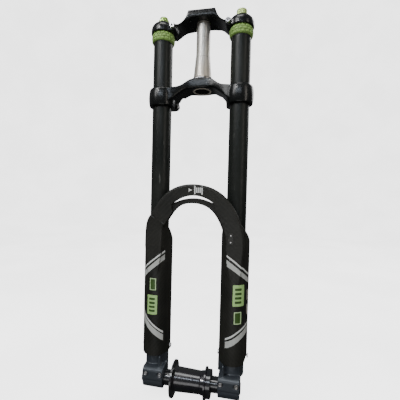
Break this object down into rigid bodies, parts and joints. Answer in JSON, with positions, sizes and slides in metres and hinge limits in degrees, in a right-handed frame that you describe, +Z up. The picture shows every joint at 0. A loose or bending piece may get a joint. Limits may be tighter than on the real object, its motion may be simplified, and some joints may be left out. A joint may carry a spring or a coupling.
{
  "type": "suspension fork",
  "caption": "Inverted twin-crown bicycle suspension fork with a tapered steerer, a one-piece guard and arch ahead of its sliding lower legs, and a disc hub on a thru axle",
  "frame": {"origin": "on the steerer axis, at the seat for the crown race on top of the lower crown", "axes": "+Z up the steerer, -Y toward the front of the bicycle, +X toward the rider's left"},
  "size_m": [0.2208, 0.1, 0.78],
  "materials": {
    "tube_black": "satin",
    "crown_black": "satin anodised",
    "bare_alloy": "satin",
    "race_steel": "ground",
    "bolt_steel": "zinc plated",
    "green_rubber": "matte",
    "green_anodised": "anodised",
    "carbon": "matte clear over woven carbon",
    "dropout_black": "satin anodised",
    "chrome_tube": "hard coated",
    "seal_rubber": "matte",
    "bushing": "lined",
    "inner_alloy": "machined",
    "hub_black": "gloss anodised"
  },
  "bodies": {
    "upper": {"steerer": "bare_alloy", "crown_race": "race_steel", "lower_crown": "crown_black", "lower_crown_bolts": "bolt_steel", "top_crown": "crown_black", "top_crown_bolts": "bolt_steel", "steerer_pinch_bolt": "bolt_steel", "top_cap_damper": "crown_black", "top_cap_air": "crown_black", "damper_cartridge": "inner_alloy", "air_cylinder": "inner_alloy", "air_valve": "bolt_steel", "outer_tube_damper": "tube_black", "outer_tube_air": "tube_black", "bumper_damper": "green_rubber", "bumper_air": "green_rubber", "wiper_damper": "seal_rubber", "wiper_air": "seal_rubber", "lower_bushing_damper": "bushing", "lower_bushing_air": "bushing", "seal_head_damper": "inner_alloy", "seal_head_air": "inner_alloy", "topout_bumper_damper": "seal_rubber", "topout_bumper_air": "seal_rubber"},
    "lowers": {"inner_tube_damper": "chrome_tube", "inner_tube_air": "chrome_tube", "upper_bushing_damper": "bushing", "upper_bushing_air": "bushing", "dropout_damper": "dropout_black", "dropout_air": "dropout_black", "axle_pinch_bolts": "bolt_steel", "guard_arch": "carbon", "guard_screws": "bolt_steel", "thru_axle": "crown_black", "hub_end_caps": "hub_black", "damper_rod": "chrome_tube", "air_shaft": "chrome_tube", "damper_piston": "inner_alloy", "air_piston": "inner_alloy", "foot_nuts": "bolt_steel"},
    "hub": {"hub_shell": "hub_black", "hub_bearings": "race_steel"},
    "high_speed": {"high_speed_knob": "green_anodised"},
    "low_speed": {"low_speed_knob": "green_anodised"},
    "rebound": {"rebound_knob": "green_anodised"},
    "preload": {"preload_knob": "green_anodised"},
    "valve_cap": {"air_cap": "green_anodised"}
  },
  "joints": [
    {"name": "fork_travel", "type": "slide", "parent": "upper", "child": "lowers", "axis": [0, 0, 1], "range_m": [0, 0.203], "stiffness_N_per_m": 3000, "springref_m": -0.03},
    {"name": "hub_spin", "type": "hinge", "parent": "lowers", "child": "hub", "pos_m": [0, -0.04, -0.612], "axis": [1, 0, 0], "continuous": true},
    {"name": "high_speed_compression", "type": "hinge", "parent": "upper", "child": "high_speed", "pos_m": [-0.08, -0.022, 0.115], "axis": [0, 0, 1], "range_deg": [-360, 0]},
    {"name": "low_speed_compression", "type": "hinge", "parent": "upper", "child": "low_speed", "pos_m": [-0.08, -0.022, 0.121], "axis": [0, 0, 1], "range_deg": [-360, 0]},
    {"name": "rebound_adjust", "type": "hinge", "parent": "lowers", "child": "rebound", "pos_m": [-0.08, -0.022, -0.618], "axis": [0, 0, 1], "range_deg": [-360, 0]},
    {"name": "negative_preload_adjust", "type": "hinge", "parent": "lowers", "child": "preload", "pos_m": [0.08, -0.022, -0.618], "axis": [0, 0, 1], "range_deg": [-360, 0]},
    {"name": "air_cap_off", "type": "slide", "parent": "upper", "child": "valve_cap", "axis": [0, 0, 1], "range_m": [0, 0.03]}
  ]
}
